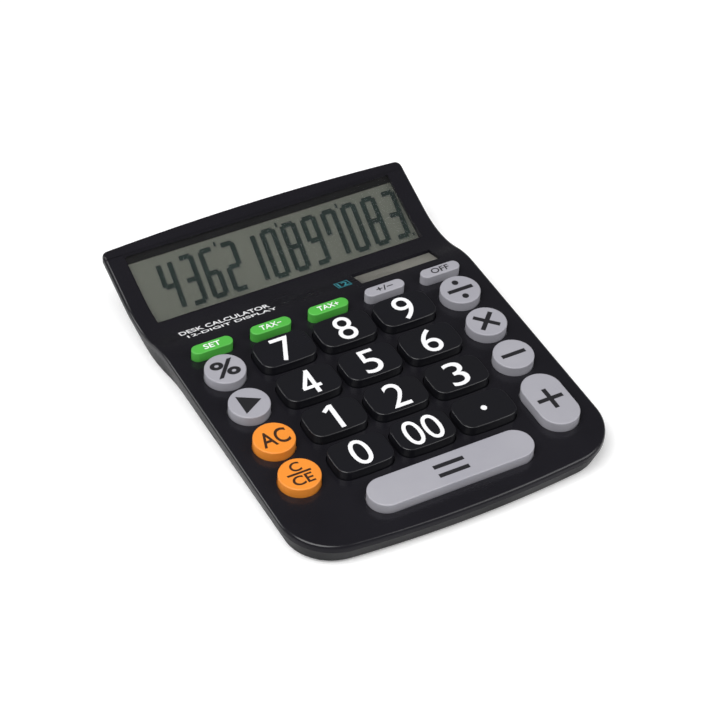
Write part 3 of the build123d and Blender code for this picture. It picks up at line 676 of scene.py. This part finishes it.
@dataclass
class KeyLegends:
    """Printing on all the keys."""

    rise: float = 3.7
    pitch_u: float = 24.49
    side_u: float = 48.0
    function_v: float = 41.5
    function_step: float = 23.4
    plus_v: float = -34.7
    equals_v: float = -48.26
    digit_high: float = 11.8
    digit_wide: float = 7.3
    stroke: float = 1.75
    rows: tuple[float, ...] = field(default=(-28.5, -9.5, 9.5, 28.5))

    def digits(self) -> list[Legend]:
        """Legends of the digit keys and the double zero."""
        names = (
            (("zero", "0"), ("double_zero", "00")),
            (("one", "1"), ("two", "2"), ("three", "3")),
            (("four", "4"), ("five", "5"), ("six", "6")),
            (("seven", "7"), ("eight", "8"), ("nine", "9")),
        )
        made = []
        for v, row in zip(self.rows, names):
            for column, (key, text) in enumerate(row):
                wide = self.digit_wide * {"00": 1.95}.get(text, 1.0)
                u = (column - 1) * self.pitch_u
                if text in "14":
                    continue
                made.append(Legend(key, u, v, Ink.WHITE, text, self.digit_high, wide, 0.0))
        return made

    def labels(self) -> list[Legend]:
        """Legends in letters on the round keys and the function keys."""
        first, step, line = -2 * self.function_step, self.function_step, self.function_v
        return [
            Legend("all_clear", -self.side_u, self.rows[1], Ink.BROWN, "AC", 7.2, 10.4, 0.014),
            Legend("percent", -self.side_u, self.rows[3], Ink.DARK, "%", 8.4, 9.8, 0.022),
            Legend("set", first, line, Ink.WHITE, "SET", 2.4, 6.6),
            Legend("tax_minus", first + step, line, Ink.WHITE, "TAX−", 2.4, 8.4),
            Legend("tax_plus", first + 2 * step, line, Ink.WHITE, "TAX+", 2.4, 8.4),
            Legend("sign", first + 3 * step, line, Ink.DARK, "+/−", 2.7, 6.8),
            Legend("off", first + 4 * step, line, Ink.DARK, "OFF", 2.7, 7.4),
        ]

    def build(self, paints: Paintbox) -> None:
        """Prints every key.

        Args:
            paints: The paintbox.
        """
        for legend in self.digits() + self.labels():
            mark = Mark().words(legend.text, 0, 0, legend.high, legend.wide, legend.weight)
            self._lay(mark, legend.key, legend.u, legend.v, legend.ink, paints)
        self._signs(paints)

    def _signs(self, paints: Paintbox) -> None:
        """Prints the drawn signs.

        Args:
            paints: The paintbox.
        """
        side, stroke = self.side_u, self.stroke
        one = Mark().bar(0.7, 0, self.digit_high, 1.8, 90).bar(-1.1, 0.36 * self.digit_high, 3.4, 1.5, 36)
        self._lay(one, "one", -self.pitch_u, self.rows[1], Ink.WHITE, paints)
        four = Mark().bar(1.3, 0, self.digit_high, 1.6, 90)
        four.bar(0, -2.5, self.digit_wide, 1.45).bar(-0.85, 1.5, 8.5, 1.5, 61)
        self._lay(four, "four", -self.pitch_u, self.rows[2], Ink.WHITE, paints)
        clear = Mark().words("C", 0, 3.5, 4.4, 4.0, 0.02).bar(0, 0.4, 9.0, 0.9)
        clear.words("CE", 0, -2.8, 4.4, 7.8, 0.02)
        self._lay(clear, "clear_entry", -side, self.rows[0], Ink.BROWN, paints)
        self._lay(Mark().dot(-0.6, 0, 5.3, 3, -90), "play", -side, self.rows[2], Ink.DARK, paints)
        self._lay(Mark().bar(0, 0, 9.6, stroke), "minus", side, self.rows[1], Ink.DARK, paints)
        self._lay(Mark().cross(0, 0, 10.2, stroke, 45), "times", side, self.rows[2], Ink.DARK, paints)
        divide = Mark().bar(0, 0, 10.2, stroke).dot(0, 3.9, 1.25).dot(0, -3.9, 1.25)
        self._lay(divide, "divide", side, self.rows[3], Ink.DARK, paints)
        self._lay(Mark().cross(0, 0, 10.0, stroke), "plus", side, self.plus_v, Ink.DARK, paints)
        equals = Mark().bar(0, 2.1, 11.8, stroke).bar(0, -2.1, 11.8, stroke)
        self._lay(equals, "equals", 0, self.equals_v, Ink.DARK, paints)
        self._lay(Mark().dot(0, 0, 1.15), "point", self.pitch_u, self.rows[0], Ink.WHITE, paints)

    def _lay(self, mark: Mark, key: str, u: float, v: float, ink: Ink, paints: Paintbox) -> None:
        """Lays one mark on top of its key."""
        mark.lay(f"legend_{key}", CASE.deck(u, v, self.rise), f"key_{key}_body", ink, paints)


# ---------------------------------------------------------------- display
@dataclass
class Readout:
    """Seven-segment digits and the faint shade that they cast on the reflector."""

    first_u: float = -47.6
    pitch: float = 8.58
    wide: float = 6.5
    high: float = 21.2
    base_s: float = -8.8
    stroke: float = 2.0
    gap: float = 0.16
    slope: float = 0.10
    glass_depth: float = 2.1
    lift: float = 0.12
    shade_shift: tuple[float, float] = (0.35, -0.35)
    shown: str = "436210897083"
    separators: tuple[int, ...] = (3, 6, 9)

    # Segments lit by each digit: a top, b and c right, d bottom, e and f left, g middle.
    LIT = {
        "0": "abcdef", "1": "bc", "2": "abdeg", "3": "abcdg", "4": "bcfg",
        "5": "acdfg", "6": "acdefg", "7": "abcf", "8": "abcdefg", "9": "abcdfg",
    }  # fmt: skip

    def draw(self) -> Mark:
        """Every lit segment, with its origin at the first digit's lower left corner.

        Returns:
            The mark.
        """
        mark = Mark()
        half, flat = self.high / 2, self.wide - self.stroke
        tall = half - self.stroke / 2 - self.gap
        left, right = self.stroke / 2, self.wide - self.stroke / 2
        low, high = half / 2 + self.stroke / 4, half * 1.5 - self.stroke / 4
        for index, digit in enumerate(self.shown):
            at = index * self.pitch
            places = {
                "a": (self.wide / 2, self.high - self.stroke / 2, flat - self.gap, 0),
                "d": (self.wide / 2, self.stroke / 2, flat - self.gap, 0),
                "g": (self.wide / 2, half, flat - 2 * self.gap, 0),
                "b": (right, high, tall, 90),
                "c": (right, low, tall, 90),
                "e": (left, low, tall, 90),
                "f": (left, high, tall, 90),
            }
            for segment in self.LIT[digit]:
                u, v, long, turn = places[segment]
                mark.bar(at + u, v, long, self.stroke, turn)
            if index in self.separators:
                mark.bar(at - (self.pitch - self.wide) / 2, self.high + 0.3, 1.9, 0.8, 90)
        mark.bar(len(self.shown) * self.pitch - (self.pitch - self.wide) / 2, 0.5, 1.0, 1.0)
        return mark.lean(self.slope)

    def build(self, paints: Paintbox) -> None:
        """Lays the digits and their shade on the display glass.

        Args:
            paints: The paintbox.
        """
        top = self.glass_depth - self.lift
        digits = CASE.head(self.first_u, self.base_s, top)
        self.draw().lay("display_digits", digits, "case", Ink.SEGMENT, paints)
        du, ds = self.shade_shift
        shade = CASE.head(self.first_u + du, self.base_s + ds, self.glass_depth)
        self.draw().lay("display_shade", shade, "case", Ink.SHADE, paints)


# ---------------------------------------------------------------- case marks
@dataclass
class CasePrint:
    """Generic wording and the digit-count mark on the case."""

    crest_v: float = 43.8
    crest_radius: float = 32.0
    valley_radius: float = 34.0
    valley_angle: float = 22.0
    lift: float = 0.02

    def surface(self, v: float) -> float:
        """Height of the case top behind the keys.

        Args:
            v: Millimetres back along the deck.

        Returns:
            Height above the deck plane, in millimetres.
        """
        turn = radians(self.valley_angle)
        crest_end = self.crest_v + self.crest_radius * sin(turn)
        if v <= self.crest_v:
            return 0.0
        if v <= crest_end:
            return sqrt(self.crest_radius**2 - (v - self.crest_v) ** 2) - self.crest_radius
        run = v - self.crest_v - (self.crest_radius + self.valley_radius) * sin(turn)
        middle = (self.crest_radius + self.valley_radius) * cos(turn) - self.crest_radius
        return middle - sqrt(self.valley_radius**2 - run**2)

    def build(self, paints: Paintbox) -> None:
        """Lays the wording and the digit-count mark on the valley.

        Args:
            paints: The paintbox.
        """
        for name, text, u, v, high, wide, ink in (
            ("case_title", "DESK CALCULATOR", -34.0, 57.6, 2.8, 36.0, Ink.WHITE),
            ("case_subtitle", "12-DIGIT DISPLAY", -32.5, 53.9, 1.9, 36.0, Ink.WHITE),
            ("case_digit_count", "12", 13.6, 55.2, 3.0, 4.0, Ink.TEAL),
        ):
            mark = Mark().words(text, 0, 0, high, wide, 0.012)
            if ink is Ink.TEAL:
                mark.box(wide + 1.6, high + 1.4, 0.3)
            mark.drape(v, self.surface, self.lift)
            mark.lay(name, CASE.deck(u, 0), "case", ink, paints)


# ---------------------------------------------------------------- studio
@dataclass
class Studio:
    """Floor, lights, world and camera."""

    azimuth: float = -0.495155
    elevation: float = 0.683428
    unit: float = 1.29
    distance: float = 683.03
    right_shift: float = -8.764
    up_shift: float = 7.193
    aim_y: float = -19.5505
    aim_z: float = 19.45
    lens: float = 128.25
    world: float = 0.10
    floor_glow: float = 0.22
    floor_half: float = 4.0

    def build(self, paints: Paintbox) -> None:
        """Sets up everything around the object.

        Args:
            paints: The paintbox.
        """
        self._floor(paints)
        self._world()
        self._light("key_light", (-0.55, -0.35, 1.05), (0, 0, 0), 0.9, 15.0)
        self._light("fill_light", (0.75, -0.75, 0.75), (0, 0, 0), 0.9, 8.0)
        self._light("rear_light", (-1.0, 0.75, 0.55), (0, 0.03, 0), 0.5, 4.0)
        self._camera()

    def _floor(self, paints: Paintbox) -> None:
        """Pale floor under the object, clear when seen from below.

        Args:
            paints: The paintbox.
        """
        mesh = bmesh.new()
        bmesh.ops.create_grid(mesh, x_segments=1, y_segments=1, size=self.floor_half)
        data = bpy.data.meshes.new("floor")
        mesh.to_mesh(data)
        mesh.free()
        floor = bpy.data.objects.new("floor", data)
        bpy.context.scene.collection.objects.link(floor)
        pale = Finish(
            "floor_pale", (250, 250, 250), (248, 248, 248), 0.8, 0.9, 200.0, 0.0, 0.0, specular=0.2
        )
        paints.dress(floor, pale)
        tree = paints.get(pale).node_tree
        shader = tree.nodes["Principled BSDF"]
        shader.inputs["Emission Color"].default_value = (1.0, 1.0, 1.0, 1.0)
        shader.inputs["Emission Strength"].default_value = self.floor_glow
        side = tree.nodes.new("ShaderNodeNewGeometry")
        clear = tree.nodes.new("ShaderNodeBsdfTransparent")
        mix = tree.nodes.new("ShaderNodeMixShader")
        tree.links.new(side.outputs["Backfacing"], mix.inputs[0])
        tree.links.new(shader.outputs["BSDF"], mix.inputs[1])
        tree.links.new(clear.outputs["BSDF"], mix.inputs[2])
        tree.links.new(mix.outputs["Shader"], tree.nodes["Material Output"].inputs["Surface"])

    def _world(self) -> None:
        """Even pale surroundings."""
        world = bpy.data.worlds.new("studio")
        world.use_nodes = True
        world.node_tree.nodes["Background"].inputs["Color"].default_value = (1.0, 1.0, 1.0, 1.0)
        world.node_tree.nodes["Background"].inputs["Strength"].default_value = self.world
        bpy.context.scene.world = world
        bpy.context.scene.view_settings.view_transform = "Standard"

    def _light(self, name: str, place: tuple, aim: tuple, size: float, watts: float) -> None:
        """One soft square light.

        Args:
            name: Name of the light.
            place: Where it stands.
            aim: What it points at.
            size: Side of the square.
            watts: Power.
        """
        data = bpy.data.lights.new(name, "AREA")
        data.shape = "SQUARE"
        data.size = size
        data.energy = watts
        lamp = bpy.data.objects.new(name, data)
        lamp.location = place
        lamp.rotation_euler = (Vector(aim) - Vector(place)).to_track_quat("-Z", "Y").to_euler()
        bpy.context.scene.collection.objects.link(lamp)

    def _camera(self) -> None:
        """Camera in front of the object, to its left and above it."""
        a, e = self.azimuth, self.elevation
        back = Vector((sin(a) * cos(e), -cos(a) * cos(e), sin(e)))
        right = Vector((cos(a), sin(a), 0))
        up = back.cross(right)
        spot = self.unit * (back * self.distance + right * self.right_shift + up * self.up_shift)
        data = bpy.data.cameras.new("camera")
        data.lens = self.lens
        data.sensor_width = 36.0
        camera = bpy.data.objects.new("camera", data)
        place = Matrix.Translation((spot + Vector((0, self.aim_y, self.aim_z))) * MM)
        camera.matrix_world = place @ Matrix(
            (
                (right.x, up.x, back.x, 0),
                (right.y, up.y, back.y, 0),
                (right.z, up.z, back.z, 0),
                (0, 0, 0, 1),
            )
        )
        bpy.context.scene.collection.objects.link(camera)
        bpy.context.scene.camera = camera


# ---------------------------------------------------------------- main
def dress_nodes(frame: dict, paints: Paintbox) -> None:
    """Gives every CAD node the finish of its material slot.

    Args:
        frame: The loaded frame.
        paints: The paintbox.
    """
    for part in frame["record"]["subparts"]:
        finish = NODE_OWN_FINISHES.get(part["node"], NODE_FINISHES[part["material_slot"]])
        paints.dress(frame["nodes"][part["node"]], finish)
        LOG.info("%s dressed in %s", part["node"], finish.name)


def main() -> None:
    """Builds every class in order."""
    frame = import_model()
    paints = Paintbox()
    dress_nodes(frame, paints)
    KeyLegends().build(paints)
    Readout().build(paints)
    CasePrint().build(paints)
    Studio().build(paints)


if __name__ == "__main__":
    main()
